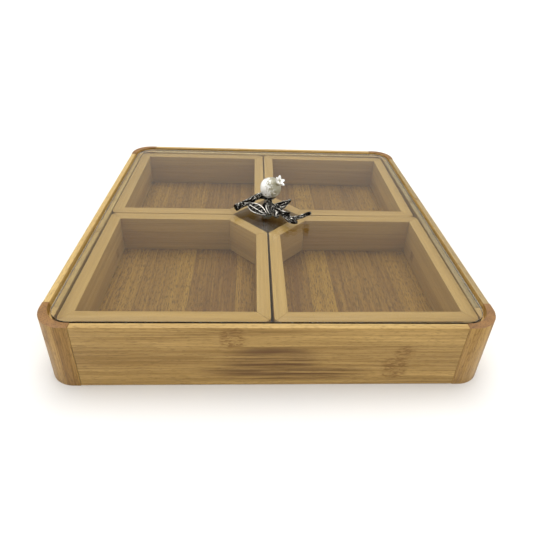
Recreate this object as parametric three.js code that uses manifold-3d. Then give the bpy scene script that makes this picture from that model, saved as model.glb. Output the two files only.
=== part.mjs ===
// A square bamboo serving box: a low case with rounded corner posts, four lift-out trays round
// a small diamond-shaped well, and a clear glass lid that lies in a rebate and is lifted by a
// cast branch with a pomegranate on it. Millimetres, +Z up, +X to the right, -Y to the front.
// The origin is on the surface that the box stands on, under its centre.
import * as THREE from 'three';
import { mergeVertices } from 'three/addons/utils/BufferGeometryUtils.js';
import Module from 'manifold-3d';

const wasm = await Module();
wasm.setup();

// Case
const CASE_WIDTH = 300;
const CASE_DEPTH = 300;
const CASE_HEIGHT = 52;
const CASE_WALL = 10.1;
const RIM_WIDTH = 4.5; // what the rebate leaves of the wall
const REBATE_DEPTH = 6.3;
const REBATE_RADIUS = 18;
const POST_REACH = 23.6; // how far a corner post runs along either side
const CORNER_RADIUS = 19;
const WELL_RADIUS = 4; // inside corner of the case
const TONGUE_LENGTH = 5; // a side's end tongue, in its post
const TONGUE_THICKNESS = 3;
const TONGUE_STOP = 4; // the tongue ends this far from the base panel and from the ledge
const BASE_THICKNESS = 5;
const BASE_RECESS = 2; // the base panel's height over the surface below
const BASE_GROOVE = 3; // how far the base panel is let into the sides
const BASE_RADIUS = 8;

// Trays
const TRAY_PLAY = 2.3; // how far one tray can slide inside its quarter of the case
const TRAY_HEADROOM = 0.7; // from the trays' top edge up to the ledge
const TRAY_WALL = 9.3;
const TRAY_CHAMFER = 29; // leg of the corner cut off towards the centre
const TRAY_RADIUS = 4.5;
const TRAY_FLOOR = 4;
const TRAY_FLOOR_RECESS = 1.7;
const TRAY_GROOVE = 3; // how far a tray's floor is let into its walls

// Lid
const GLASS_THICKNESS = 5;
const GLASS_CLEARANCE = 1.8; // between the glass's edge and the rim
const GLASS_HOLE = 3; // radius
const WASHER_RADIUS = 5.5;
const WASHER_THICKNESS = 1;
const SCREW_RADIUS = 1.9;
const SCREW_HEAD_RADIUS = 4;
const SCREW_HEAD_HEIGHT = 2.4;
const SCREW_SOCKET_RADIUS = 1.3;
const SCREW_SOCKET_DEPTH = 1.4;
const SCREW_GRIP = 4; // length of screw inside the handle
const BOSS_RADIUS = 4.6;
const BOSS_HEIGHT = 6;
const STEM_RADIUS = 2.5;
const TWIG_RADIUS = 2.1;
const SPRIG_RADIUS = 1.5;
const OFFSHOOT_RADIUS = 1.7;
const LEAF_THICKNESS = 1.4;
const BUD_RADIUS = 3;
const FRUIT_RADIUS = 9.7;
const CUP_RADIUS = 3.4;
const CUP_REACH = 2; // above and below the fruit's foot
const CUP_LEAN = 0.5;
const CROWN_RADIUS = 4.7;
const CROWN_HEIGHT = 5;
const CROWN_WALL = 1.1;
const CROWN_SINK = 1.5; // how deep the crown's foot is in the fruit
const CROWN_FOOT_RADIUS = 3.2;
const CROWN_NECK_RADIUS = 2.9;
const CROWN_NECK_HEIGHT = 2.2; // over the crown's foot
const CROWN_FLOOR_HEIGHT = 3;
const CROWN_POINTS = 5;
const NOTCH_RADIUS = 2;
const NOTCH_DEPTH = 2;
const NOTCH_STRETCH = 1.4; // the notch's reach inwards over its width

// Fits
const GLUE_GAP = 0.3; // between glued faces
const REST_GAP = 0.3; // under a piece that rests on another
const SCREW_CLEARANCE = 0.3;
const CUT_THROUGH = 2; // how far a cutter runs past what it cuts
const WELD = 1e-4; // vertices closer than this are one

// Worked out from the sizes above
const ledgeHeight = CASE_HEIGHT - REBATE_DEPTH;
const baseTop = BASE_RECESS + BASE_THICKNESS;
const wellWidth = CASE_WIDTH - 2 * CASE_WALL;
const wellDepth = CASE_DEPTH - 2 * CASE_WALL;
const pocketWidth = CASE_WIDTH - 2 * RIM_WIDTH;
const pocketDepth = CASE_DEPTH - 2 * RIM_WIDTH;
const pocketRadius = REBATE_RADIUS;
const trayWidth = wellWidth / 2 - TRAY_PLAY;
const trayDepth = wellDepth / 2 - TRAY_PLAY;
const trayBottom = baseTop + REST_GAP;
const trayHeight = ledgeHeight - TRAY_HEADROOM - trayBottom;
const glassBottom = ledgeHeight + REST_GAP;
const glassTop = glassBottom + GLASS_THICKNESS;

const BAMBOO = { color: 0xc49c62, roughness: 0.55, metalness: 0 };
const DARK_BAMBOO = { color: 0xa87c48, roughness: 0.55, metalness: 0 };
const CLEAR_GLASS = { color: 0xe8f0ea, roughness: 0.03, metalness: 0, transparent: true, opacity: 0.3 };
const OLD_SILVER = { color: 0x5c5a57, roughness: 0.35, metalness: 1 };
const PEARL = { color: 0xf0eee6, roughness: 0.25, metalness: 0 };
const STEEL = { color: 0xb8bcc0, roughness: 0.3, metalness: 1 };
const SOFT_CLEAR = { color: 0xd9dcd8, roughness: 0.5, metalness: 0, transparent: true, opacity: 0.6 };

const server = new THREE.Group();

// Solids and meshes

function toSolid(geometry) {
  const bare = geometry.index ? geometry.toNonIndexed() : geometry.clone();
  bare.deleteAttribute('normal');
  bare.deleteAttribute('uv');
  const merged = mergeVertices(bare, WELD);
  const corners = merged.index.array;
  const triangles = [];
  for (let i = 0; i < corners.length; i += 3) {
    const [a, b, c] = [corners[i], corners[i + 1], corners[i + 2]];
    if (a !== b && b !== c && c !== a) triangles.push(a, b, c);
  }
  return new wasm.Manifold(new wasm.Mesh({
    numProp: 3,
    vertProperties: new Float32Array(merged.attributes.position.array),
    triVerts: new Uint32Array(triangles),
  }));
}

function toGeometry(solid) {
  const mesh = solid.getMesh();
  const geometry = new THREE.BufferGeometry();
  geometry.setAttribute('position', new THREE.BufferAttribute(new Float32Array(mesh.vertProperties), 3));
  geometry.setIndex(new THREE.BufferAttribute(new Uint32Array(mesh.triVerts), 1));
  geometry.computeVertexNormals();
  return geometry;
}

function addPart(group, name, solid, look) {
  const part = new THREE.Mesh(toGeometry(solid), new THREE.MeshStandardMaterial(look));
  part.name = name;
  group.add(part);
  return part;
}

// Outlines: lists of corners, anticlockwise from above

const rectangle = (width, depth) => [
  new THREE.Vector2(-width / 2, -depth / 2),
  new THREE.Vector2(width / 2, -depth / 2),
  new THREE.Vector2(width / 2, depth / 2),
  new THREE.Vector2(-width / 2, depth / 2),
];

// The outline with every edge moved inwards by the same distance.
function inset(outline, distance) {
  return outline.map((corner, i) => {
    const before = outline[(i + outline.length - 1) % outline.length];
    const after = outline[(i + 1) % outline.length];
    const inwardBefore = inwardNormal(before, corner);
    const inwardAfter = inwardNormal(corner, after);
    const reach = distance / (1 + inwardBefore.dot(inwardAfter));
    return corner.clone().add(inwardBefore.add(inwardAfter).multiplyScalar(reach));
  });
}

function inwardNormal(start, end) {
  const along = end.clone().sub(start).normalize();
  return new THREE.Vector2(-along.y, along.x);
}

// A closed outline whose corners are rounded by the radii given, one for each corner.
function roundedShape(outline, radii) {
  const shape = new THREE.Shape();
  outline.forEach((corner, i) => {
    const before = outline[(i + outline.length - 1) % outline.length].clone().sub(corner).normalize();
    const after = outline[(i + 1) % outline.length].clone().sub(corner).normalize();
    const halfAngle = Math.acos(before.dot(after)) / 2;
    const run = radii[i] / Math.tan(halfAngle);
    const start = corner.clone().addScaledVector(before, run);
    const end = corner.clone().addScaledVector(after, run);
    if (i === 0) shape.moveTo(start.x, start.y);
    else shape.lineTo(start.x, start.y);
    if (radii[i] === 0) return;
    const middle = before.clone().add(after).normalize();
    const centre = corner.clone().addScaledVector(middle, radii[i] / Math.sin(halfAngle));
    const from = start.clone().sub(centre).angle();
    const to = end.clone().sub(centre).angle();
    shape.absarc(centre.x, centre.y, radii[i], from, to, false);
  });
  return shape;
}

const sharp = (outline) => roundedShape(outline, outline.map(() => 0));
const roundedRectangle = (width, depth, radius) =>
  roundedShape(rectangle(width, depth), Array(4).fill(radius));

function prism(shape, bottom, top, curveSegments = 10) {
  const geometry = new THREE.ExtrudeGeometry(shape, {
    depth: top - bottom, bevelEnabled: false, curveSegments,
  });
  return toSolid(geometry.translate(0, 0, bottom));
}

function block(low, high) {
  const size = high.clone().sub(low);
  const geometry = new THREE.BoxGeometry(size.x, size.y, size.z);
  const middle = low.clone().add(high).multiplyScalar(0.5);
  return toSolid(geometry.translate(middle.x, middle.y, middle.z));
}

function disc(radius, bottom, top, sides = 32) {
  const geometry = new THREE.CylinderGeometry(radius, radius, top - bottom, sides);
  geometry.rotateX(Math.PI / 2);
  return toSolid(geometry.translate(0, 0, (bottom + top) / 2));
}

// Case: four sides and four corner posts round a base panel, all grooved, and a rebate for the lid

const basePanelShape = (grow) => roundedRectangle(
  wellWidth + 2 * (BASE_GROOVE + grow), wellDepth + 2 * (BASE_GROOVE + grow), BASE_RADIUS + grow);
const basePanel = (grow) => prism(basePanelShape(grow), BASE_RECESS - grow, baseTop + grow);
const lidPocket = prism(
  roundedRectangle(pocketWidth, pocketDepth, pocketRadius), ledgeHeight, CASE_HEIGHT + CUT_THROUGH);
const trayWell = prism(
  roundedRectangle(wellWidth, wellDepth, WELL_RADIUS), -CUT_THROUGH, CASE_HEIGHT + CUT_THROUGH);

// A side's board with its end tongues, along X at the front. grow makes the tongues' mortises.
function sideBoard(length, reach) {
  const end = length / 2 - POST_REACH - GLUE_GAP;
  return block(new THREE.Vector3(-end, -reach, 0), new THREE.Vector3(end, -reach + CASE_WALL, CASE_HEIGHT));
}

function sideTongues(length, reach, grow) {
  const end = length / 2 - POST_REACH - GLUE_GAP + TONGUE_LENGTH + grow;
  const outer = -reach + (CASE_WALL - TONGUE_THICKNESS) / 2;
  return block(
    new THREE.Vector3(-end, outer - grow, baseTop + TONGUE_STOP - grow),
    new THREE.Vector3(end, outer + TONGUE_THICKNESS + grow, ledgeHeight - TONGUE_STOP + grow));
}

const SIDES = [
  { name: 'front', quarterTurns: 0, length: CASE_WIDTH, reach: CASE_DEPTH / 2 },
  { name: 'right', quarterTurns: 1, length: CASE_DEPTH, reach: CASE_WIDTH / 2 },
  { name: 'back', quarterTurns: 2, length: CASE_WIDTH, reach: CASE_DEPTH / 2 },
  { name: 'left', quarterTurns: 3, length: CASE_DEPTH, reach: CASE_WIDTH / 2 },
];

function turned(solid, quarterTurns) {
  return toSolid(toGeometry(solid).rotateZ(quarterTurns * Math.PI / 2));
}

function addSide({ name, quarterTurns, length, reach }) {
  const board = sideBoard(length, reach).add(sideTongues(length, reach, 0));
  const side = turned(board, quarterTurns).subtract(lidPocket).subtract(basePanel(GLUE_GAP));
  addPart(server, `case_${name}_side`, side, BAMBOO);
}

const mortises = SIDES.map(({ quarterTurns, length, reach }) =>
  turned(sideTongues(length, reach, GLUE_GAP), quarterTurns));

function addPost(row, column) {
  const outerX = column === 'right' ? CASE_WIDTH / 2 : -CASE_WIDTH / 2;
  const outerY = row === 'back' ? CASE_DEPTH / 2 : -CASE_DEPTH / 2;
  const outline = rectangle(POST_REACH, POST_REACH).map((corner) => corner.add(new THREE.Vector2(
    outerX - Math.sign(outerX) * POST_REACH / 2, outerY - Math.sign(outerY) * POST_REACH / 2)));
  const radii = outline.map((corner) => (
    Math.abs(corner.x - outerX) < WELD && Math.abs(corner.y - outerY) < WELD ? CORNER_RADIUS : 0));
  let post = prism(roundedShape(outline, radii), 0, CASE_HEIGHT, 14);
  for (const cutter of [trayWell, lidPocket, basePanel(GLUE_GAP), ...mortises]) post = post.subtract(cutter);
  addPart(server, `corner_post_${row}_${column}`, post, DARK_BAMBOO);
}

SIDES.forEach(addSide);
for (const row of ['front', 'back']) {
  for (const column of ['left', 'right']) addPost(row, column);
}
addPart(server, 'base_panel', basePanel(0), BAMBOO);

// Trays: five mitred walls grooved round a floor panel. Each tray lies a little off the middle of its
// quarter and turned a little, as hands leave it. Shifts and turns are shares of the tray's play.

const TRAYS = [
  { row: 'front', column: 'left', right: 0.26, back: -0.2, turn: 0 },
  { row: 'front', column: 'right', right: 0.04, back: -0.1, turn: 0.18 },
  { row: 'back', column: 'left', right: -0.2, back: -0.7, turn: 0 },
  { row: 'back', column: 'right', right: -0.7, back: -0.6, turn: -0.3 },
];

// The tray's outline, with its cut-off corner towards the middle of the case.
function trayOutline(row, column) {
  const [right, back] = [trayWidth / 2, trayDepth / 2];
  const outline = [
    new THREE.Vector2(-right, -back),
    new THREE.Vector2(right, -back),
    new THREE.Vector2(right, back - TRAY_CHAMFER),
    new THREE.Vector2(right - TRAY_CHAMFER, back),
    new THREE.Vector2(-right, back),
  ];
  const across = column === 'right' ? -1 : 1;
  const along = row === 'back' ? -1 : 1;
  const placed = outline.map((corner) => new THREE.Vector2(corner.x * across, corner.y * along));
  return across * along < 0 ? placed.reverse() : placed;
}

// A wall is named for the way that it faces.
function wallName(start, end) {
  const inward = inwardNormal(start, end);
  if (Math.abs(Math.abs(inward.x) - Math.abs(inward.y)) < 0.5) return 'corner_wall';
  if (Math.abs(inward.x) > Math.abs(inward.y)) return inward.x > 0 ? 'left_wall' : 'right_wall';
  return inward.y > 0 ? 'front_wall' : 'back_wall';
}

// One wall's board with mitred ends, a hair short of its neighbours for the glue.
function mitredBoard(outer, inner, i) {
  const next = (i + 1) % outer.length;
  const along = outer[next].clone().sub(outer[i]).setLength(GLUE_GAP / 2);
  const board = [
    outer[i].clone().add(along),
    outer[next].clone().sub(along),
    inner[next].clone().sub(along),
    inner[i].clone().add(along),
  ];
  return prism(sharp(board), 0, trayHeight);
}

function trayFloor(outline, grow) {
  const shape = sharp(inset(outline, TRAY_WALL - TRAY_GROOVE - grow));
  return prism(shape, TRAY_FLOOR_RECESS - grow, TRAY_FLOOR_RECESS + TRAY_FLOOR + grow);
}

function isSquareCorner(outline, i) {
  const before = outline[(i + outline.length - 1) % outline.length].clone().sub(outline[i]);
  const after = outline[(i + 1) % outline.length].clone().sub(outline[i]);
  return Math.abs(before.dot(after)) < WELD * before.length() * after.length();
}

function addTray({ row, column, right, back, turn }) {
  const outline = trayOutline(row, column);
  const radii = outline.map((corner, i) => (isSquareCorner(outline, i) ? TRAY_RADIUS : 0));
  const blank = prism(roundedShape(outline, radii), -CUT_THROUGH, trayHeight + CUT_THROUGH, 6);
  const outer = inset(outline, -CUT_THROUGH);
  const inner = inset(outline, TRAY_WALL);
  const groove = trayFloor(outline, GLUE_GAP);
  const name = `tray_${row}_${column}`;
  const tray = new THREE.Group();
  outline.forEach((corner, i) => {
    const wall = mitredBoard(outer, inner, i).intersect(blank).subtract(groove);
    addPart(tray, `${name}_${wallName(corner, outline[(i + 1) % outline.length])}`, wall, BAMBOO);
  });
  addPart(tray, `${name}_floor`, trayFloor(outline, 0), BAMBOO);
  const [towardsRight, towardsBack] = [column === 'right' ? 1 : -1, row === 'back' ? 1 : -1];
  tray.position.set(
    towardsRight * wellWidth / 4 + right * TRAY_PLAY,
    towardsBack * wellDepth / 4 + back * TRAY_PLAY,
    trayBottom);
  tray.rotation.z = Math.atan2(turn * TRAY_PLAY, Math.max(trayWidth, trayDepth) / 2);
  server.add(tray);
}

TRAYS.forEach(addTray);

// Lid: a glass pane with a hole in the middle, and the handle screwed to it from below

const glass = prism(
  roundedRectangle(
    pocketWidth - 2 * GLASS_CLEARANCE, pocketDepth - 2 * GLASS_CLEARANCE, pocketRadius - GLASS_CLEARANCE),
  glassBottom, glassTop, 16).subtract(disc(GLASS_HOLE, glassBottom - CUT_THROUGH, glassTop + CUT_THROUGH));
addPart(server, 'lid_glass', glass, CLEAR_GLASS);

const upperWasherBottom = glassTop + GLUE_GAP;
const handleFoot = upperWasherBottom + WASHER_THICKNESS + GLUE_GAP;
const lowerWasherTop = glassBottom - GLUE_GAP;
const screwHeadTop = lowerWasherTop - WASHER_THICKNESS - GLUE_GAP;
const screwTip = handleFoot + SCREW_GRIP;

function washer(bottom) {
  const top = bottom + WASHER_THICKNESS;
  const hole = disc(SCREW_RADIUS + SCREW_CLEARANCE, bottom - CUT_THROUGH, top + CUT_THROUGH, 24);
  return disc(WASHER_RADIUS, bottom, top).subtract(hole);
}

addPart(server, 'handle_washer_upper', washer(upperWasherBottom), SOFT_CLEAR);
addPart(server, 'handle_washer_lower', washer(lowerWasherTop - WASHER_THICKNESS), SOFT_CLEAR);

const screwHeadBottom = screwHeadTop - SCREW_HEAD_HEIGHT;
const screw = disc(SCREW_HEAD_RADIUS, screwHeadBottom, screwHeadTop)
  .add(disc(SCREW_RADIUS, screwHeadTop - WELD, screwTip, 24))
  .subtract(disc(SCREW_SOCKET_RADIUS, screwHeadBottom - CUT_THROUGH, screwHeadBottom + SCREW_SOCKET_DEPTH, 6));
addPart(server, 'handle_screw', screw, STEEL);

// Handle: a cast branch with two twigs, three leaves and a bud on a round boss, and a pomegranate.
// Points are in the handle's own frame: its origin is the middle of the boss's foot.

const STEM_PATH = [
  [-28.3, -4, 4], [-22.2, 1.6, 4.4], [-15.8, 6.9, 5], [-9.6, 13.4, 5.8],
  [-4, 16.6, 6], [1.2, 11.6, 5.4], [2.2, 4, 4.6], [1, -2, 4.2],
];
const TWIG_PATH = [
  [0.4, -1.6, 3.8], [5.6, -7.4, 4.2], [11.6, -11.6, 4.2], [16, -15.2, 3.6],
  [18.6, -21.2, 2.8], [21.8, -24.2, 2.4], [25.7, -24.8, 2.2],
];
const SPRIG_PATH = [
  [18.2, -20, 2.9], [22.6, -20, 3], [28.3, -17.9, 3.4], [33.4, -15.4, 4.2], [38.2, -13.1, 5],
];
const OFFSHOOT_PATH = [
  [2.8, -0.4, 4.8], [7.8, -1.6, 4.6], [12, -3.2, 4.4], [16.4, 1, 5.4], [21.4, 7.6, 6.8],
];
const FRUIT_CENTRE = [3.2, 12.5, 16.4];
const FRUIT_AXIS = [0.62, -0.35, 0.7];
const BUD_CENTRE = [8, -13.4, 2.6];
const LEAVES = [
  { base: [-17, 4, 5], tip: [-1.6, -12.4, 2.3], width: 10.6, tilt: 0.3 },
  { base: [1.4, 3.6, 6.4], tip: [1.3, -12.2, 2.3], width: 8.2, tilt: -0.1 },
  { base: [3.2, -0.6, 4.4], tip: [21.6, 5, 7.6], width: 5.4, tilt: -0.6 },
];

const vector = (point) => new THREE.Vector3(...point);

function tube(path, radius, curveSegments = 5) {
  const curve = new THREE.CatmullRomCurve3(path.map(vector));
  const section = new THREE.Shape().absarc(0, 0, radius, 0, 2 * Math.PI, false);
  return toSolid(new THREE.ExtrudeGeometry(section, {
    steps: 4 * path.length, curveSegments, extrudePath: curve,
  }));
}

function ball(centre, radius, sides = 16) {
  const geometry = new THREE.SphereGeometry(radius, sides, sides / 2);
  return toSolid(geometry.translate(...centre));
}

// A flat pointed leaf from its base to its tip, tilted about the line between them.
function leaf({ base, tip, width, tilt }) {
  const length = vector(base).distanceTo(vector(tip));
  const shape = new THREE.Shape();
  shape.moveTo(0, 0);
  shape.bezierCurveTo(length * 0.25, width * 0.7, length * 0.65, width * 0.6, length, 0);
  shape.bezierCurveTo(length * 0.65, -width * 0.6, length * 0.25, -width * 0.7, 0, 0);
  const geometry = new THREE.ExtrudeGeometry(shape, {
    depth: LEAF_THICKNESS, bevelEnabled: false, curveSegments: 7,
  });
  geometry.translate(0, 0, -LEAF_THICKNESS / 2).rotateX(tilt);
  const along = vector(tip).sub(vector(base)).normalize();
  const across = new THREE.Vector3(0, 0, 1).cross(along).normalize();
  const frame = new THREE.Matrix4().makeBasis(along, across, along.clone().cross(across));
  return toSolid(geometry.applyMatrix4(frame.setPosition(...base)));
}

function handleBranch() {
  let branch = disc(BOSS_RADIUS, 0, BOSS_HEIGHT);
  const limbs = [
    tube(STEM_PATH, STEM_RADIUS),
    tube(TWIG_PATH, TWIG_RADIUS),
    tube(SPRIG_PATH, SPRIG_RADIUS),
    tube(OFFSHOOT_PATH, OFFSHOOT_RADIUS),
    ball(BUD_CENTRE, BUD_RADIUS),
    fruitCup(),
    ...LEAVES.map(leaf),
  ];
  for (const limb of limbs) branch = branch.add(limb);
  const bore = disc(SCREW_RADIUS + SCREW_CLEARANCE, -CUT_THROUGH, SCREW_GRIP + SCREW_CLEARANCE, 24);
  return branch.subtract(bore).subtract(fruitBody(GLUE_GAP));
}

// The little cup under the fruit, part of the branch.
function fruitCup() {
  const [x, y, z] = FRUIT_CENTRE;
  const foot = [x - CUP_LEAN, y + CUP_LEAN, z - FRUIT_RADIUS - CUP_REACH];
  return tube([foot, [x, y, z - FRUIT_RADIUS + CUP_REACH]], CUP_RADIUS, 8);
}

function fruitBody(grow) {
  return ball(FRUIT_CENTRE, FRUIT_RADIUS + grow, 28);
}

// The flared crown at the fruit's top: a lathe-turned cup, notched between its points.
function fruitCrown() {
  const foot = FRUIT_RADIUS - CROWN_SINK;
  const lip = FRUIT_RADIUS + CROWN_HEIGHT;
  const profile = [
    [0, foot], [CROWN_FOOT_RADIUS, foot], [CROWN_NECK_RADIUS, foot + CROWN_NECK_HEIGHT], [CROWN_RADIUS, lip],
    [CROWN_RADIUS - CROWN_WALL, lip], [CROWN_NECK_RADIUS - CROWN_WALL, foot + CROWN_FLOOR_HEIGHT],
    [0, foot + CROWN_FLOOR_HEIGHT],
  ].map(([radius, height]) => new THREE.Vector2(radius, height));
  let crown = toSolid(new THREE.LatheGeometry(profile, 25).rotateX(Math.PI / 2));
  for (let gap = 0; gap < CROWN_POINTS; gap += 1) {
    const notch = new THREE.ConeGeometry(NOTCH_RADIUS, 2 * NOTCH_DEPTH, 4, 1);
    notch.rotateY(Math.PI / 4).rotateX(-Math.PI / 2).scale(NOTCH_STRETCH, 1, 1);
    notch.translate(CROWN_RADIUS, 0, lip).rotateZ((gap + 0.5) * 2 * Math.PI / CROWN_POINTS);
    crown = crown.subtract(toSolid(notch));
  }
  const upright = new THREE.Vector3(0, 0, 1);
  const lean = new THREE.Quaternion().setFromUnitVectors(upright, vector(FRUIT_AXIS).normalize());
  return toSolid(toGeometry(crown).applyQuaternion(lean).translate(...FRUIT_CENTRE));
}

const handle = new THREE.Group();
handle.position.z = handleFoot;
addPart(handle, 'handle_branch', handleBranch(), OLD_SILVER);
addPart(handle, 'handle_pomegranate', fruitBody(0).add(fruitCrown()), PEARL);
server.add(handle);

export default server;
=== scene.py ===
import math

import bmesh
import bpy
from mathutils import Matrix, Vector, noise


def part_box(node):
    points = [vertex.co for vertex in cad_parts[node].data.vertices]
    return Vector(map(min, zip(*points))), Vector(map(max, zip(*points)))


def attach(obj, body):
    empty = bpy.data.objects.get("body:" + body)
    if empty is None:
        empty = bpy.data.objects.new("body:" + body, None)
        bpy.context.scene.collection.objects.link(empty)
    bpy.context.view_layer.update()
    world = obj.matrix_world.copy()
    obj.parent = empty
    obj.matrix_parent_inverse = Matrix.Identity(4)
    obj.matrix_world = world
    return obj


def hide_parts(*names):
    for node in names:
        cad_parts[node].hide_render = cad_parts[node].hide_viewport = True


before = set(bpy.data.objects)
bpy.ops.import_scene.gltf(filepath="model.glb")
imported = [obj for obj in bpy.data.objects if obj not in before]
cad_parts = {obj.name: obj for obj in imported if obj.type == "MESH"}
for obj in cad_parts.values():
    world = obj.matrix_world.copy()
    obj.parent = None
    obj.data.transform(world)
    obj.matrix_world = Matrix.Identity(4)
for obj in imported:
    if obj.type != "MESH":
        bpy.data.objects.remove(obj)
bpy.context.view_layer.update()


# ---- Camera, table and light ------------------------------------------------------------------
# A hand-held camera a little left of the middle and well above the box, with a wide lens. The box
# stands on a plain white table under one broad soft lamp, in a pale room whose walls fill the shadows.

CAMERA_PLACE = (-0.0155, -0.3605, 0.2546)
CAMERA_TURN = (59.706, -2.182, -2.143)  # degrees about X, Y and Z
CAMERA_LENS = 30.747
CAMERA_SHIFT = (-0.0126, -0.0904)
TABLE_REACH = 6.0
TABLE_WHITE = (0.9, 0.9, 0.9, 1)
ROOM_GLOW = 0.20
ROOM_TINT = (1.0, 0.99, 0.965, 1)
SEEN_WHITE = (1, 1, 1, 1)
# which way each bright part of the room lies, the cosines of the angles from its middle where it
# ends and is full, and how much it adds
ROOM_PARTS = (
    ((0.0, 0.24, 0.97), (0.85, 0.98), 4.3),  # the lamp overhead
    ((0.0, -0.92, 0.38), (0.0, 0.95), 0.40),  # the wall behind the camera
    ((0.0, 1.0, 0.0), (0.25, 0.60), 0.21),  # the wall behind the box, which the lid reflects
    ((1.0, 0.0, 0.0), (0.45, 0.85), 1.25),  # the walls at either side
    ((-1.0, 0.0, 0.0), (0.45, 0.85), 1.25),
)

scene = bpy.context.scene
camera = bpy.data.objects.new("camera", bpy.data.cameras.new("camera"))
camera.location = CAMERA_PLACE
camera.rotation_euler = [math.radians(turn) for turn in CAMERA_TURN]
camera.data.sensor_width = 36.0
camera.data.lens = CAMERA_LENS
camera.data.shift_x, camera.data.shift_y = CAMERA_SHIFT
camera.data.clip_start = 0.01
scene.collection.objects.link(camera)
scene.camera = camera
scene.view_settings.view_transform = "Standard"


def add(tree, kind, inputs=None, **settings):
    """A new node in the tree, with its settings made and its inputs filled or linked."""
    made = tree.nodes.new(kind)
    for name, value in settings.items():
        setattr(made, name, value)
    for key, value in (inputs or {}).items():
        if isinstance(value, bpy.types.NodeSocket):
            tree.links.new(value, made.inputs[key])
        else:
            made.inputs[key].default_value = value
    return made


def calc(tree, operation, *values, clamp=False):
    """The result of one sum on numbers or sockets."""
    made = add(tree, "ShaderNodeMath", dict(enumerate(values)), operation=operation, use_clamp=clamp)
    return made.outputs[0]


def blend_colours(tree, share, first, second):
    """Two colours mixed by a share from 0 to 1."""
    return add(tree, "ShaderNodeMix", {0: share, 6: first, 7: second}, data_type="RGBA").outputs[2]


def spread(tree, value, low, high, to_low=0.0, to_high=1.0):
    """A value moved smoothly from one range to another."""
    inputs = {0: value, 1: low, 2: high, 3: to_low, 4: to_high}
    return add(tree, "ShaderNodeMapRange", inputs, interpolation_type="SMOOTHSTEP").outputs[0]


def new_material(name):
    """An empty material with a Principled shader on its output: (material, tree, shader)."""
    material = bpy.data.materials.new(name)
    material.use_nodes = True
    tree = material.node_tree
    tree.nodes.clear()
    shader = add(tree, "ShaderNodeBsdfPrincipled")
    output = add(tree, "ShaderNodeOutputMaterial")
    tree.links.new(shader.outputs[0], output.inputs["Surface"])
    return material, tree, shader


def link_piece(name, mesh):
    """A new object with this mesh, at the origin."""
    piece = bpy.data.objects.new(name, mesh)
    scene.collection.objects.link(piece)
    return piece


def table_top():
    """The table's flat white top."""
    corners = [(x * TABLE_REACH, y * TABLE_REACH, 0) for x, y in ((-1, -1), (1, -1), (1, 1), (-1, 1))]
    mesh = bpy.data.meshes.new("table_top")
    mesh.from_pydata(corners, [], [(0, 1, 2, 3)])
    material, _, shader = new_material("table_white")
    shader.inputs["Base Color"].default_value = TABLE_WHITE
    shader.inputs["Roughness"].default_value = 0.8
    shader.inputs["Specular IOR Level"].default_value = 0.1
    mesh.materials.append(material)
    return link_piece("table_top", mesh)


def pale_room():
    """The world: a lamp overhead and pale walls, and plain white where it is seen directly."""
    world = bpy.data.worlds.new("pale_room")
    world.use_nodes = True
    tree = world.node_tree
    tree.nodes.clear()
    direction = add(tree, "ShaderNodeTexCoord").outputs["Generated"]
    glow = ROOM_GLOW
    for aim, edges, added in ROOM_PARTS:
        inputs = {0: direction, 1: Vector(aim).normalized()}
        towards = add(tree, "ShaderNodeVectorMath", inputs, operation="DOT_PRODUCT").outputs["Value"]
        glow = calc(tree, "ADD", glow, spread(tree, towards, *edges, 0.0, added))
    seen = add(tree, "ShaderNodeLightPath").outputs["Is Camera Ray"]
    tint = blend_colours(tree, seen, ROOM_TINT, SEEN_WHITE)
    back = add(tree, "ShaderNodeBackground", {"Color": tint, "Strength": calc(tree, "MAXIMUM", glow, seen)})
    output = add(tree, "ShaderNodeOutputWorld")
    tree.links.new(back.outputs[0], output.inputs[0])
    return world


table_top()
scene.world = pale_room()


# ---- Case sides -------------------------------------------------------------------------------
# Four straight boards of side-pressed bamboo, with the strips lying one on another. The top edge
# is cut from a paler strip, and a rebate inside it holds the lid. Tongues join them to the posts.

MM = 0.001
CASE_EASE = 0.7 * MM
EASE_ANGLE = math.radians(35)  # a sharper turn than this between two faces is eased
FLAT_ANGLE = math.radians(0.5)  # and a slighter one than this is none
SAME_PLACE = 1e-6
GLUED_EASE = 0.2  # of the full width
SIDE_TONES = ((0.545, 0.348, 0.110, 1), (0.265, 0.150, 0.036, 1))  # light and dark
RIM_TONES = ((0.635, 0.442, 0.172, 1), (0.42, 0.262, 0.086, 1))
# the right rim's copy of the rim tones, painted darker and greyer for the shade that side lies in
SHADED_RIM_TONES = ((0.40, 0.29, 0.14, 1), (0.25, 0.17, 0.075, 1))  # on the right
KNUCKLE_TONE = (0.17, 0.080, 0.017, 1)
STAIN_TONE = (0.12, 0.054, 0.011, 1)
SIDE_STRIP = 10.5 * MM
SIDE_STRIPS_DIFFER = 0.45
SIDE_FLECKS = 0.35
ALONG_X = (0, 0, 0)
ALONG_Y = (0, 0, -math.pi / 2)
ALONG_Z = (0, math.pi / 2, 0)
# streaks in a metre along the grain, streaks in a metre across it, and their detail
BROAD = (4.0, 110.0, 2.0)
MIDDLE = (7.0, 420.0, 3.0)
FINE = (16.0, 1100.0, 3.0)
DASHES = (210.0, 1350.0, 2.0)
BROAD_SHARE, MIDDLE_SHARE, FINE_SHARE = 1.3, 1.9, 1.5
STRIP_UNEVENNESS = 0.55
GRAIN_SWAY = 2 * MM
SWAY_SCALE = 22.0
FLECK_EDGES = (0.50, 0.66)  # of the dashes, where a fleck begins and is full
GLUE_LINE = 0.03  # of a strip's width
GLUE_DARKNESS = 0.4
KNUCKLE_SPACING = 210 * MM
KNUCKLE_REACH = (5.5 * MM, 1.0 * MM)  # from its middle to where it ends and is full
CURL_SCALE = (190.0, 190.0, 620.0)
CURLS = (0.45, 0.58, 0.10, 0.75)  # of the curls, from where to where they darken, and from what to what
STAIN_STREAKS = (0.40, 0.60, 0.30, 1.05)  # the same of the fibres under a stain
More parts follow.
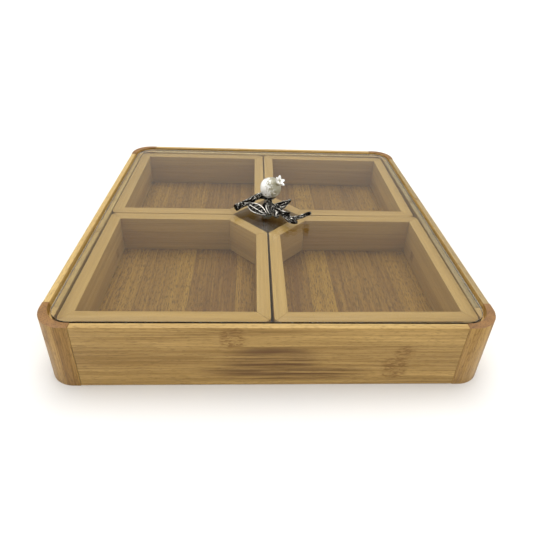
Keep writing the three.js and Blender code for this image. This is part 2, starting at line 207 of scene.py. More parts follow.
SPOT_EDGES = (1.1, 0.3)  # of a spot's own size squared, where it ends and is full
STAIN_EDGES = (2.2, 0.0)
GLOSS_VARIES = 0.35
KNUCKLE_DULLNESS = 0.08
GRAIN_STRENGTH, GRAIN_DEPTH = 0.4, 0.12 * MM
# (x, z, half length, half height) in metres
FRONT_KNUCKLES = ((-0.0255, 0.0430, 0.009, 0.0100), (0.0880, 0.0300, 0.008, 0.0070),
                  (0.0830, 0.0160, 0.010, 0.0110))
FRONT_STAIN = ((0.0010, 0.0215, 0.026, 0.0125), (0.0100, 0.0120, 0.045, 0.0060))


def eased(name, node, width, joint=None, harden=True):
    """A board's finished shape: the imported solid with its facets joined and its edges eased.

    The edges of a face where joint(normal) holds are glued to the next board and stay almost sharp."""
    shape = bmesh.new()
    shape.from_mesh(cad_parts[node].data)
    bmesh.ops.remove_doubles(shape, verts=shape.verts, dist=SAME_PLACE)
    bmesh.ops.dissolve_limit(shape, angle_limit=FLAT_ANGLE, verts=shape.verts, edges=shape.edges,
                             use_dissolve_boundaries=False)
    amount = shape.edges.layers.float.new("bevel_weight_edge")
    for edge in shape.edges:
        if edge.calc_face_angle(0.0) > EASE_ANGLE:
            glued = joint and any(joint(face.normal) for face in edge.link_faces)
            edge[amount] = GLUED_EASE if glued else 1.0
    mesh = bpy.data.meshes.new(name)
    shape.to_mesh(mesh)
    shape.free()
    mesh.shade_smooth()
    piece = link_piece(name, mesh)
    bevel = piece.modifiers.new("ease", "BEVEL")
    bevel.width = width
    bevel.segments = 2
    bevel.limit_method = "WEIGHT"
    bevel.harden_normals = harden
    return settled(piece)


def settled(piece):
    """The piece with its modifiers made part of its mesh."""
    scene.view_layers[0].update()
    solid = piece.evaluated_get(bpy.context.evaluated_depsgraph_get())
    mesh = bpy.data.meshes.new_from_object(solid)
    mesh.name = piece.name
    piece.modifiers.clear()
    piece.data = mesh
    return piece


def dress(piece, *materials):
    """Gives the piece these materials in place of the ones it has."""
    piece.data.materials.clear()
    for material in materials:
        piece.data.materials.append(material)


def top_faces(piece, index, above=-math.inf):
    """Puts the faces that look up, over a height, in another of the piece's materials."""
    for face in piece.data.polygons:
        if face.normal.z > 0.9 and face.center.z > above:
            face.material_index = index


def centred(tree, value, middle, amount):
    """How far a value lies from its middle, times an amount."""
    return calc(tree, "MULTIPLY", calc(tree, "SUBTRACT", value, middle), amount)


def roughen(tree, shader, height, strength, depth):
    """Gives the surface a fine relief of this depth."""
    bump = add(tree, "ShaderNodeBump", {"Strength": strength, "Distance": depth, "Height": height})
    tree.links.new(bump.outputs[0], shader.inputs["Normal"])


def fibres(tree, place, along, across, detail):
    """Streaks drawn out along the grain, this many a metre along it and across it."""
    stretched = add(tree, "ShaderNodeMapping", {"Vector": place, "Scale": (along, across, across)})
    return add(tree, "ShaderNodeTexNoise", {"Vector": stretched.outputs[0], "Scale": 1.0, "Detail": detail,
                                            "Roughness": 0.6}).outputs[0]


def knuckle_bands(tree, run, chance, share):
    """Where the growth knuckles cross the strips: a share of the strips has one at every spacing."""
    place = calc(tree, "ADD", calc(tree, "DIVIDE", run, KNUCKLE_SPACING), chance.outputs[0])
    away = calc(tree, "ABSOLUTE", calc(tree, "SUBTRACT", calc(tree, "FRACT", place), 0.5))
    band = spread(tree, calc(tree, "MULTIPLY", away, KNUCKLE_SPACING), *KNUCKLE_REACH)
    return calc(tree, "MULTIPLY", band, calc(tree, "LESS_THAN", chance.outputs[1], share))


def round_marks(tree, place, spots, edges):
    """Rounded marks at chosen places on a face along X."""
    at = add(tree, "ShaderNodeSeparateXYZ", {0: place})
    total = 0.0
    for x, z, half_length, half_height in spots:
        sideways = calc(tree, "DIVIDE", calc(tree, "SUBTRACT", at.outputs[0], x), half_length)
        upwards = calc(tree, "DIVIDE", calc(tree, "SUBTRACT", at.outputs[2], z), half_height)
        square = calc(tree, "ADD", calc(tree, "POWER", sideways, 2.0), calc(tree, "POWER", upwards, 4.0))
        total = calc(tree, "MAXIMUM", total, spread(tree, square, *edges))
    return total


def bamboo(name, grain, tones, strip_width, seed=0.0, knuckles=0.4, spots=(), stain=(), contrast=1.0,
           flecks=0.5, across="Z", strips=0.75, roughness=0.42):
    """Lacquered bamboo with its grain turned to one way, made of glued strips.

    The share of strips with knuckles, the contrast, the flecks and how much the strips differ run
    from 0 to about 1."""
    material, tree, shader = new_material(name)
    raw = add(tree, "ShaderNodeTexCoord").outputs["Object"]
    straight = add(tree, "ShaderNodeMapping", {"Vector": raw, "Rotation": grain}).outputs[0]
    wander = add(tree, "ShaderNodeTexNoise", {"Vector": straight, "Scale": SWAY_SCALE, "Detail": 1.0})
    drift = add(tree, "ShaderNodeVectorMath", {0: wander.outputs["Color"], 1: (0.5, 0.5, 0.5)},
                operation="SUBTRACT")
    sway = add(tree, "ShaderNodeVectorMath", {0: drift.outputs[0], "Scale": GRAIN_SWAY}, operation="SCALE")
    place = add(tree, "ShaderNodeVectorMath", {0: straight, 1: sway.outputs[0]}, operation="ADD").outputs[0]
    ways = add(tree, "ShaderNodeSeparateXYZ", {0: straight})
    layer = calc(tree, "ADD", calc(tree, "DIVIDE", ways.outputs[across], strip_width), seed)
    inputs = {"W": layer, "Scale": 1.0, "Randomness": STRIP_UNEVENNESS}
    strip = add(tree, "ShaderNodeTexVoronoi", inputs, voronoi_dimensions="1D").outputs["Color"]
    seam = add(tree, "ShaderNodeTexVoronoi", inputs, voronoi_dimensions="1D", feature="DISTANCE_TO_EDGE")
    glue = spread(tree, seam.outputs["Distance"], 0.0, GLUE_LINE, 1.0, 0.0)
    chance = add(tree, "ShaderNodeSeparateColor", {0: strip})
    shift = add(tree, "ShaderNodeCombineXYZ", dict(enumerate(chance.outputs)))
    place = add(tree, "ShaderNodeVectorMath", {0: place, 1: shift.outputs[0]}, operation="ADD").outputs[0]
    broad, middle, fine, dashes = (fibres(tree, place, *kind) for kind in (BROAD, MIDDLE, FINE, DASHES))

    # how dark each point is, from 0 to 1: its strip, then its fibres from broad to fine
    tone = centred(tree, chance.outputs[2], 0.5, strips)
    for fibre, part in ((broad, BROAD_SHARE), (middle, MIDDLE_SHARE), (fine, FINE_SHARE)):
        tone = calc(tree, "ADD", tone, centred(tree, fibre, 0.5, part))
    tone = calc(tree, "ADD", calc(tree, "MULTIPLY", tone, contrast), 0.5, clamp=True)
    colour = blend_colours(tree, tone, *tones)

    # dark flecks and glue lines, then the stain and the curled marks of the knuckles
    darkest = (*(part / 2 for part in tones[1][:3]), 1)
    fleck = calc(tree, "MULTIPLY", spread(tree, dashes, *FLECK_EDGES), flecks)
    colour = blend_colours(tree, fleck, colour, darkest)
    colour = blend_colours(tree, calc(tree, "MULTIPLY", glue, GLUE_DARKNESS), colour, darkest)
    if stain:
        streaks = spread(tree, middle, *STAIN_STREAKS)
        streaks = calc(tree, "MULTIPLY", streaks, round_marks(tree, raw, stain, STAIN_EDGES))
        colour = blend_colours(tree, streaks, colour, STAIN_TONE)
    band = knuckle_bands(tree, ways.outputs[0], chance, knuckles)
    if spots:
        band = calc(tree, "MAXIMUM", band, round_marks(tree, raw, spots, SPOT_EDGES))
    stretched = add(tree, "ShaderNodeMapping", {"Vector": place, "Scale": CURL_SCALE})
    curls = add(tree, "ShaderNodeTexNoise", {"Vector": stretched.outputs[0], "Scale": 1.0, "Detail": 2.0,
                                             "Distortion": 0.9}).outputs[0]
    mark = calc(tree, "MULTIPLY", band, spread(tree, curls, *CURLS))
    colour = blend_colours(tree, mark, colour, KNUCKLE_TONE)
    tree.links.new(colour, shader.inputs["Base Color"])

    gloss = calc(tree, "ADD", roughness, centred(tree, fine, 0.5, GLOSS_VARIES))
    gloss = calc(tree, "ADD", gloss, calc(tree, "MULTIPLY", band, KNUCKLE_DULLNESS))
    tree.links.new(gloss, shader.inputs["Roughness"])
    relief = fine
    for hollow, depth in ((glue, 0.6), (fleck, 0.6), (mark, 0.5)):
        relief = calc(tree, "SUBTRACT", relief, calc(tree, "MULTIPLY", hollow, depth))
    roughen(tree, shader, relief, GRAIN_STRENGTH, GRAIN_DEPTH)
    shader.inputs["Specular IOR Level"].default_value = 0.3
    return material


def case_sides():
    look = {"strips": SIDE_STRIPS_DIFFER, "flecks": SIDE_FLECKS}
    front = bamboo("case_bamboo_front", ALONG_X, SIDE_TONES, SIDE_STRIP, seed=0.3, knuckles=0.0,
                   spots=FRONT_KNUCKLES, stain=FRONT_STAIN, contrast=0.85, **look)
    back = bamboo("case_bamboo_back", ALONG_X, SIDE_TONES, SIDE_STRIP, seed=9.4, **look)
    ends = bamboo("case_bamboo_along", ALONG_Y, SIDE_TONES, SIDE_STRIP, seed=4.1, **look)
    rim_across = bamboo("rim_bamboo_across", ALONG_X, RIM_TONES, SIDE_STRIP, seed=0.3, knuckles=0.0)
    rim_along = bamboo("rim_bamboo_along", ALONG_Y, RIM_TONES, SIDE_STRIP, seed=4.1, knuckles=0.3)
    # painted shade: a darker copy of the rim's bamboo for the right side
    shaded_rim = bamboo("rim_bamboo_shaded", ALONG_Y, SHADED_RIM_TONES, SIDE_STRIP, seed=6.6, knuckles=0.3)
    inner_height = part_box("base_panel")[1].z
    for side, finish, rim in (("front", front, rim_across), ("back", back, rim_across),
                              ("left", ends, rim_along), ("right", ends, shaded_rim)):
        length = 0 if side in ("front", "back") else 1
        board = eased(f"case_{side}_board", f"case_{side}_side", CASE_EASE,
                      joint=lambda normal: abs(normal[length]) > 0.5)
        dress(board, finish, rim)
        top_faces(board, 1, above=inner_height)
        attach(board, "case")
        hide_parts(f"case_{side}_side")


case_sides()


# ---- Corner posts -----------------------------------------------------------------------------
# Four upright blocks of darker bamboo, rounded on the outside, which the sides' tongues enter.
# Their grain stands up, so that their tops show brown end grain with its dots.

POST_TONES = ((0.45, 0.266, 0.070, 1), (0.23, 0.115, 0.023, 1))
END_TONES = ((0.30, 0.148, 0.041, 1), (0.09, 0.035, 0.009, 1))
LEDGE_TONES = ((0.56, 0.355, 0.125, 1), (0.34, 0.195, 0.060, 1))
POST_STRIP = 7.5 * MM
DOT_SCALE = 950.0
DOT_EDGES = (0.42, 0.20)  # of the way to the next dot, where it ends and is full
DOT_DARKNESS = 0.55
CLOUD_SCALE = 130.0
CLOUD_DARKNESS = 1.6


def end_grain(name, tones):
    """The cut ends of the strips: a dense pattern of dark dots."""
    material, tree, shader = new_material(name)
    place = add(tree, "ShaderNodeTexCoord").outputs["Object"]
    inputs = {"Vector": place, "Scale": DOT_SCALE, "Randomness": 0.9}
    dots = add(tree, "ShaderNodeTexVoronoi", inputs).outputs[0]
    inputs = {"Vector": place, "Scale": CLOUD_SCALE, "Detail": 3.0}
    cloud = add(tree, "ShaderNodeTexNoise", inputs).outputs[0]
    dot = calc(tree, "MULTIPLY", spread(tree, dots, *DOT_EDGES), DOT_DARKNESS)
    shade = calc(tree, "ADD", dot, centred(tree, cloud, 0.4, CLOUD_DARKNESS), clamp=True)
    tree.links.new(blend_colours(tree, shade, *tones), shader.inputs["Base Color"])
    roughen(tree, shader, dots, 0.3, 0.1 * MM)
    shader.inputs["Roughness"].default_value = 0.55
    return material


def corner_posts():
    upright = bamboo("post_bamboo", ALONG_Z, POST_TONES, POST_STRIP, seed=1.7, knuckles=0.5, contrast=1.1)
    ends = end_grain("post_end_grain", END_TONES)
    ledges = end_grain("post_ledge_grain", LEDGE_TONES)
    rim_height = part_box("corner_post_front_left")[1].z
    for row in ("front", "back"):
        for column in ("left", "right"):
            node = f"corner_post_{row}_{column}"
            inwards = Vector((1 if column == "left" else -1, 1 if row == "front" else -1, 0))
            post = eased(f"post_{row}_{column}", node, CASE_EASE,
                         joint=lambda normal: max(normal.x * inwards.x, normal.y * inwards.y) > 0.99)
            dress(post, upright, ledges, ends)
            top_faces(post, 1)
            top_faces(post, 2, above=rim_height - MM)
            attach(post, "case")
            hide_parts(node)


corner_posts()


# ---- Base panel -------------------------------------------------------------------------------
# A thin board of plain bamboo, let into grooves in the sides and posts. Its dark brown is painted shade,
# for the shadow in the well under the handle. Only its underside and the bottom of the well show, so it
# stays the imported solid with a duller finish.

# painted shade: the whole board is darkened for the shadow at the bottom of the well
BASE_SHADE_TONES = ((0.100, 0.055, 0.023, 1), (0.060, 0.031, 0.013, 1))
BASE_STRIP = 24 * MM

base_bamboo = bamboo("base_bamboo", ALONG_X, BASE_SHADE_TONES, BASE_STRIP, seed=8.2, across="Y", roughness=0.6)
dress(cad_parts["base_panel"], base_bamboo)


# ---- Trays ------------------------------------------------------------------------------------
# Four loose trays. Each has four mitred walls and a fifth across the corner that is cut off, all
# grooved round a floor of wide strips that run front to back, and every edge is lightly eased.

TRAY_EASE = 0.6 * MM
TRAY_TONES = ((0.535, 0.333, 0.110, 1), (0.365, 0.208, 0.057, 1))
FLOOR_TONES = ((0.375, 0.206, 0.037, 1), (0.185, 0.084, 0.016, 1))
WALL_STRIP = 9 * MM
FLOOR_STRIP = 19 * MM
WALL_GRAINS = {"front_wall": ALONG_X, "back_wall": ALONG_X, "left_wall": ALONG_Y, "right_wall": ALONG_Y}
DIAGONAL = math.pi / 4


def wall_run(wall, slants_up):
    """The way a tray wall runs."""
    if wall == "corner_wall":
        return Vector((1, 1 if slants_up else -1, 0)).normalized()
    return Vector((0, 1, 0)) if WALL_GRAINS[wall] is ALONG_Y else Vector((1, 0, 0))


def trays():
    walls_across, walls_along, slant_up, slant_down = (
        bamboo(f"tray_bamboo_{way}", grain, TRAY_TONES, WALL_STRIP, seed, knuckles, contrast=0.55,
               flecks=0.10)
        for way, grain, seed, knuckles in (
            ("across", ALONG_X, 2.4, 0.25), ("along", ALONG_Y, 5.9, 0.25),
            ("slant_up", (0, 0, -DIAGONAL), 3.3, 0.0), ("slant_down", (0, 0, DIAGONAL), 7.7, 0.0)))
    floors = bamboo("tray_floor_bamboo", ALONG_Y, FLOOR_TONES, FLOOR_STRIP, seed=0.4, knuckles=0.5,
                    contrast=0.75, flecks=0.80, across="Y", strips=0.85, roughness=0.5)
    finishes = {ALONG_X: walls_across, ALONG_Y: walls_along}
    for row in ("front", "back"):
        for column in ("left", "right"):
            tray = f"tray_{row}_{column}"
            slants_up = (row == "front") != (column == "left")
            slant = slant_up if slants_up else slant_down
            for wall in (*WALL_GRAINS, "corner_wall"):
                board = eased(f"{tray}_{wall}_board", f"{tray}_{wall}", TRAY_EASE,
                              joint=lambda normal: 0.2 < abs(normal.dot(wall_run(wall, slants_up))) < 0.95)
                dress(board, finishes[WALL_GRAINS[wall]] if wall in WALL_GRAINS else slant)
                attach(board, tray)
                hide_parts(f"{tray}_{wall}")
            dress(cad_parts[f"{tray}_floor"], floors)


trays()


# ---- Lid glass --------------------------------------------------------------------------------
# One pane of clear float glass, 5 mm thick, with rounded corners, a ground edge and a drilled hole for the
# handle's screw. The edge is tinted brown, a painted reflection of the rim beside it. It lies loose on the
# ledge.

GLASS_EASE = 0.4 * MM
GLASS_TINT = (0.955, 0.975, 0.96, 1)
# painted reflection: the ground edge is tinted the brown of the rim it shows
EDGE_TINT = (0.70, 0.60, 0.44, 1)
EDGE_ROUGHNESS = 0.25
PASSING_TINT = (0.93, 0.95, 0.93, 1)
GLASS_IOR = 1.52


def clear_glass(name, tint, roughness):
    """Glass that bends what is seen through it, and lets the room's light pass to what it covers."""
    material, tree, shader = new_material(name)
    shader.inputs["Base Color"].default_value = tint
    shader.inputs["Roughness"].default_value = roughness
    shader.inputs["IOR"].default_value = GLASS_IOR
    shader.inputs["Transmission Weight"].default_value = 1.0
    path = add(tree, "ShaderNodeLightPath")
    lit = calc(tree, "MAXIMUM", path.outputs["Is Shadow Ray"], path.outputs["Is Diffuse Ray"])
    passing = add(tree, "ShaderNodeBsdfTransparent", {0: PASSING_TINT})
    mixer = add(tree, "ShaderNodeMixShader", {0: lit, 1: shader.outputs[0], 2: passing.outputs[0]})
    output = next(node for node in tree.nodes if node.type == "OUTPUT_MATERIAL")
    tree.links.new(mixer.outputs[0], output.inputs["Surface"])
    return material


def lid_pane():
    pane = eased("lid_pane", "lid_glass", GLASS_EASE, harden=False)
    dress(pane, clear_glass("clear_glass", GLASS_TINT, 0.0),
          clear_glass("ground_glass_edge", EDGE_TINT, EDGE_ROUGHNESS))
    for face in pane.data.polygons:
        is_edge = abs(face.normal.z) < 0.999
        face.material_index = int(is_edge)
        face.use_smooth = is_edge
    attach(pane, "lid")
    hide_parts("lid_glass")


lid_pane()


# ---- Screw and washers ------------------------------------------------------------------------
# A short zinc-plated screw with a hexagon socket comes up through the pane into the handle's boss.
# A soft clear washer on either side keeps metal off the glass.

ZINC_TONES = ((0.5, 0.5, 0.52, 1), (0.68, 0.68, 0.7, 1))
WASHER_TONES = ((0.30, 0.31, 0.29, 1), (0.48, 0.50, 0.46, 1))
SCREW_EASE = 0.3 * MM
WASHER_EASE = 0.2 * MM


def screw_and_washers():
    zinc, tree, shader = new_material("zinc_plate")
    place = add(tree, "ShaderNodeTexCoord").outputs["Object"]
    cloud = add(tree, "ShaderNodeTexNoise", {"Vector": place, "Scale": 700.0, "Detail": 3.0}).outputs[0]
    tree.links.new(blend_colours(tree, cloud, *ZINC_TONES), shader.inputs["Base Color"])
    tree.links.new(spread(tree, cloud, 0.3, 0.7, 0.22, 0.42), shader.inputs["Roughness"])
    shader.inputs["Metallic"].default_value = 1.0
    screw = eased("handle_screw_plated", "handle_screw", SCREW_EASE)
    dress(screw, zinc)
    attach(screw, "lid")
    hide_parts("handle_screw")

    soft, tree, shader = new_material("soft_clear_plastic")
    place = add(tree, "ShaderNodeTexCoord").outputs["Object"]
    haze = add(tree, "ShaderNodeTexNoise", {"Vector": place, "Scale": 400.0, "Detail": 2.0}).outputs[0]
    tree.links.new(blend_colours(tree, haze, *WASHER_TONES), shader.inputs["Base Color"])
    tree.links.new(spread(tree, haze, 0.3, 0.7, 0.35, 0.55), shader.inputs["Roughness"])
    shader.inputs["Transmission Weight"].default_value = 0.7
    for level in ("upper", "lower"):
        washer = eased(f"soft_washer_{level}", f"handle_washer_{level}", WASHER_EASE)
        dress(washer, soft)
        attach(washer, "lid")
        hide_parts(f"handle_washer_{level}")


screw_and_washers()


# ---- Handle branch ----------------------------------------------------------------------------
# One casting in blackened silver, rubbed bright on its ridges: a cut stem and twigs in rough bark,
# three leaves, two small ones that rise from the twigs, a round bud and a cup for the fruit. A boss
# below takes the screw. All these sizes are in millimetres, from just over the upper washer.

STEM = ((-28.3, -4.0, 4.0), (-22.2, 1.6, 4.4), (-15.8, 6.9, 5.0), (-9.6, 13.4, 5.8), (-4.0, 16.6, 6.0),
        (1.2, 11.6, 5.4), (2.2, 4.0, 4.6), (1.0, -2.0, 4.2))
TWIG = ((0.4, -1.6, 3.8), (5.6, -7.4, 4.2), (11.6, -11.6, 4.2), (16.0, -15.2, 3.6), (18.6, -21.2, 2.8),
        (21.8, -24.2, 2.4), (25.7, -24.8, 2.2))
SPRIG = ((18.2, -20.0, 2.9), (22.6, -20.0, 3.0), (28.3, -17.9, 3.4), (33.4, -15.4, 4.2), (38.2, -13.1, 5.0))
OFFSHOOT = ((2.8, -0.4, 4.8), (7.8, -1.6, 4.6), (12.0, -3.2, 4.4), (16.4, 1.0, 5.4), (21.4, 7.6, 6.8))
# each limb's line and its radius at every point of the line
LIMBS = ((STEM, (3.0, 2.7, 2.9, 2.7, 3.0, 2.7, 2.7, 2.7)), (TWIG, (2.7, 2.6, 2.5, 2.8, 2.5, 2.0, 1.4)),
         (SPRIG, (1.8, 1.8, 1.7, 1.7, 1.3)), (OFFSHOOT, (2.0, 2.0, 2.3, 2.0, 1.3)))
# what the bark's node tree is given; the furrows' depth is a share of the limb's radius
BARK = {"Sides": 40, "Step": 0.25 * MM, "Furrow Depth": 0.40, "Furrow Width": 4.6,
        "Furrow Length": 5.0 * MM, "Seed": 3.0}
LEAVES = (
    {"base": (-16.8, 2.6, 4.4), "tip": (-1.0, -13.0, 2.2), "width": 10.4, "tilt": 0.30, "dome": -1.0},
    {"base": (2.6, 3.6, 6.2), "tip": (2.6, -12.4, 2.3), "width": 8.6, "tilt": -0.10, "dome": 2.4,
     "netted": True},
    {"base": (6.0, 0.4, 5.4), "tip": (21.6, 5.0, 7.6), "width": 5.4, "tilt": -0.60, "dome": -1.6},
    {"base": (16.0, -14.6, 3.6), "tip": (18.4, -20.6, 9.0), "width": 6.0, "tilt": 0.0, "dome": 0.4,
     "shine": 0.5},
    {"base": (33.0, -14.6, 4.2), "tip": (36.2, -19.4, 8.6), "width": 5.4, "tilt": 0.0, "dome": 0.4,
     "shine": 0.5},
)
LEAF_ROWS, LEAF_COLUMNS = 36, 22
LEAF_THICKNESS = 1.1
LEAF_BEND = 0.5
RIM_HEIGHT, RIB_HEIGHT, VEIN_HEIGHT = 0.5, 0.5, 0.28
RIM_START, RIM_SLOPE, RIB_WIDTH = 0.72, 0.16, 0.11  # of half the leaf's width
VEINS, VEIN_SLANT = 5.5, 1.1
NET_VEINS, NET_SLANT, NET_SHARPNESS = 7, 3, 8
BUD = (8.0, -13.4, 2.6)
BUD_RADIUS = 3.0
BUD_FLATNESS = 0.866
BUD_POINT = 0.18  # how far the point stands out, as a share of the radius
BUD_ROWS, BUD_COLUMNS = 20, 32
FRUIT = (3.2, 12.5, 16.4)
FRUIT_RADIUS = 9.7
# (radius, height over the foot of the fruit) up the outside of the cup and down its inside
CUP = ((0.3, -2.4), (2.4, -2.3), (3.2, -1.2), (4.3, 0.3), (4.9, 1.25), (4.6, 1.3), (3.6, 0.5), (0.3, -0.4))
BOSS_RADIUS, BOSS_HEIGHT, BORE_RADIUS, BORE_DEPTH = 4.6, 6.0, 2.2, 4.3
# (radius, height) from the end of the bore down to its mouth and up the outside of the boss
BOSS = ((0.2, BORE_DEPTH), (BORE_RADIUS, BORE_DEPTH), (BORE_RADIUS, 0.0), (BOSS_RADIUS - 0.3, 0.0),
        (BOSS_RADIUS, 0.3), (BOSS_RADIUS, 3.8), (4.1, 5.3), (2.6, BOSS_HEIGHT), (0.2, BOSS_HEIGHT))
LATHE_COLUMNS = 32
HANDLE_GAP = 0.3
SILVER_BLACK = (0.012, 0.010, 0.008, 1)
SILVER_BRIGHT = (0.86, 0.83, 0.76, 1)
GRIME_SCALE = 800.0
GRIME_SHARE = 1.5
RUBBED_EDGES = (0.55, 1.0)  # of the glint, where the silver begins to show and is bare


def handle_seat():
    """The place on the lid that the handle's sizes are measured from."""
    low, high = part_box("handle_washer_upper")
    return Vector(((low.x + high.x) / 2, (low.y + high.y) / 2, high.z + HANDLE_GAP * MM))


def skin(shape, rings, glints):
    """Adds one closed skin of rings of points, in millimetres from the seat, with a glint for each."""
    layer = shape.verts.layers.float.get("glint") or shape.verts.layers.float.new("glint")
    seat = handle_seat()
    rows = []
    for ring, glint in zip(rings, glints):
        rows.append([shape.verts.new(seat + Vector(point) * MM) for point in ring])
        for vertex, shine in zip(rows[-1], glint):
            vertex[layer] = shine
    count = len(rows[0])
    for first, second in zip(rows, rows[1:]):
        for i in range(count):
            j = (i + 1) % count
            shape.faces.new((first[i], first[j], second[j], second[i])).smooth = True
    shape.faces.new(rows[0][::-1])
    shape.faces.new(rows[-1])


def angles(count):
    """This many angles all round a circle."""
    return [2 * math.pi * i / count for i in range(count)]


def outwards(axis, angle):
    """The direction square to an axis at this angle round it."""
    side = axis.orthogonal().normalized()
    return side * math.cos(angle) + axis.cross(side) * math.sin(angle)


def cast(name, shape):
    """The finished shape as an object, with its faces turned outwards."""
    bmesh.ops.recalc_face_normals(shape, faces=shape.faces)
    mesh = bpy.data.meshes.new(name)
    shape.to_mesh(mesh)
    shape.free()
    return link_piece(name, mesh)


def named(tree, name):
    """A value that is stored on the points under this name."""
    return add(tree, "GeometryNodeInputNamedAttribute", {"Name": name}, data_type="FLOAT").outputs[0]


def stored(tree, geometry, name, value):
    """The geometry with a value stored on its points under this name."""
    inputs = {"Geometry": geometry, "Name": name, "Value": value}
    return add(tree, "GeometryNodeStoreNamedAttribute", inputs, data_type="FLOAT").outputs[0]


def bark_tree(material):
    """Geometry nodes that grow a bark-covered limb round each line of points, as thick as it says."""
    tree = bpy.data.node_groups.new("bark_limbs", "GeometryNodeTree")
    tree.interface.new_socket("Geometry", in_out="INPUT", socket_type="NodeSocketGeometry")
    for name, value in BARK.items():
        kind = "NodeSocketInt" if isinstance(value, int) else "NodeSocketFloat"
        tree.interface.new_socket(name, in_out="INPUT", socket_type=kind)
    tree.interface.new_socket("Geometry", in_out="OUTPUT", socket_type="NodeSocketGeometry")
    given = tree.nodes.new("NodeGroupInput").outputs

    # a smooth line through the points, and a circle carried along it
    line = add(tree, "GeometryNodeMeshToCurve", {0: given["Geometry"]}).outputs[0]
    line = add(tree, "GeometryNodeCurveSplineType", {0: line}, spline_type="CATMULL_ROM").outputs[0]
    inputs = {"Curve": line, "Length": given["Step"]}
    line = add(tree, "GeometryNodeResampleCurve", inputs, mode="LENGTH").outputs[0]
    inputs = {"Curve": line, "Radius": named(tree, "thickness")}
    line = add(tree, "GeometryNodeSetCurveRadius", inputs).outputs[0]
    line = stored(tree, line, "run", add(tree, "GeometryNodeSplineParameter").outputs["Length"])
    inputs = {"Resolution": given["Sides"], "Radius": 1.0}
    circle = add(tree, "GeometryNodeCurvePrimitiveCircle", inputs).outputs[0]
    circle = stored(tree, circle, "around", add(tree, "GeometryNodeSplineParameter").outputs["Factor"])
    inputs = {"Curve": line, "Profile Curve": circle, "Fill Caps": True,
              "Scale": add(tree, "GeometryNodeInputRadius").outputs[0]}
    limb = add(tree, "GeometryNodeCurveToMesh", inputs).outputs[0]

    # furrows that run with the limb, and a glint on the crests between them
    turn = calc(tree, "MULTIPLY", named(tree, "around"), 2 * math.pi)
    sideways = calc(tree, "MULTIPLY", calc(tree, "COSINE", turn), given["Furrow Width"])
    upwards = calc(tree, "MULTIPLY", calc(tree, "SINE", turn), given["Furrow Width"])
    along = calc(tree, "DIVIDE", named(tree, "run"), given["Furrow Length"])
    place = add(tree, "ShaderNodeCombineXYZ", {0: sideways, 1: upwards, 2: along}).outputs[0]
    inputs = {"Vector": place, "W": given["Seed"], "Scale": 1.6, "Detail": 2.0, "Roughness": 0.55,
              "Distortion": 0.6}
    bark = add(tree, "ShaderNodeTexNoise", inputs, noise_dimensions="4D").outputs[0]
    lift = centred(tree, spread(tree, bark, 0.38, 0.62), 0.75, given["Furrow Depth"])
    lift = calc(tree, "MULTIPLY", lift, named(tree, "thickness"))
    inputs = {0: add(tree, "GeometryNodeInputNormal").outputs[0], "Scale": lift}
    offset = add(tree, "ShaderNodeVectorMath", inputs, operation="SCALE").outputs[0]
    limb = add(tree, "GeometryNodeSetPosition", {"Geometry": limb, "Offset": offset}).outputs[0]
    limb = stored(tree, limb, "glint", spread(tree, bark, 0.50, 0.60))

    limb = add(tree, "GeometryNodeSetShadeSmooth", {0: limb}).outputs[0]
    limb = add(tree, "GeometryNodeRealizeInstances", {0: limb}).outputs[0]
    limb = add(tree, "GeometryNodeSetMaterial", {"Geometry": limb, "Material": material}).outputs[0]
    tree.links.new(limb, tree.nodes.new("NodeGroupOutput").inputs[0])
    return tree


def bark_limbs(material):
    """The mesh of the stem and twigs, grown along their lines."""
    seat = handle_seat()
    points, edges, thickness = [], [], []
    for path, radii in LIMBS:
        edges += [(len(points) + i, len(points) + i + 1) for i in range(len(path) - 1)]
        points += [seat + Vector(point) * MM for point in path]
        thickness += [radius * MM for radius in radii]
    mesh = bpy.data.meshes.new("limb_lines")
    mesh.from_pydata(points, edges, [])
    mesh.attributes.new("thickness", "FLOAT", "POINT").data.foreach_set("value", thickness)
    lines = link_piece("limb_lines", mesh)
    grow = lines.modifiers.new("bark", "NODES")
    grow.node_group = bark_tree(material)
    for socket in grow.node_group.interface.items_tree:
        if socket.name in BARK:
            grow[socket.identifier] = BARK[socket.name]
    settled(lines)
    grown = lines.data
    bpy.data.objects.remove(lines)
    return grown


def leaf(shape, base, tip, width, tilt, dome, shine=1.0, netted=False):
    """A pointed leaf with a raised rim, a midrib and slanting veins, or with a net of veins.

    A dome below 0 makes it a hollow."""
    base, tip = Vector(base), Vector(tip)
    along = (tip - base).normalized()
    across = Vector((0, 0, 1)).cross(along).normalized()
    across = Matrix.Rotation(tilt, 3, along) @ across
    up = along.cross(across)
    length = (tip - base).length
    rings, glints = [], []
    for row in range(LEAF_ROWS + 1):
        u = row / LEAF_ROWS
        half = width / 2 * max(0.05, math.sin(math.pi * u ** 0.85) ** 0.7)
        middle = base + along * (length * u) + up * (LEAF_BEND * math.sin(math.pi * u))
        top, bright = [], []
        for column in range(LEAF_COLUMNS + 1):
            v = 2 * column / LEAF_COLUMNS - 1
            rim = max(0.0, min(1.0, (abs(v) - RIM_START) / RIM_SLOPE))
            if netted:
                rib = 0.0
                slants = (NET_VEINS * u - NET_SLANT * v, NET_VEINS * u + NET_SLANT * v)
                vein = max(math.sin(math.pi * slant) ** NET_SHARPNESS for slant in slants)
            else:
                rib = math.exp(-(v / RIB_WIDTH) ** 2)
                vein = max(0.0, math.sin(2 * math.pi * (VEINS * u - VEIN_SLANT * abs(v)))) ** 2
            vein *= (1 - rib) * (1 - rim)
            height = dome * (1 - v * v) * math.sin(math.pi * u) ** 0.5
            height += RIM_HEIGHT * rim + RIB_HEIGHT * rib + VEIN_HEIGHT * vein
            top.append(middle + across * (half * v) + up * height)
            bright.append(shine * max(rim, 0.95 * rib, 0.8 * vein))
        bottom = [point - up * LEAF_THICKNESS for point in top[::-1]]
        rings.append(top + bottom)
        glints.append(bright + [0.1] * len(bottom))
    skin(shape, rings, glints)


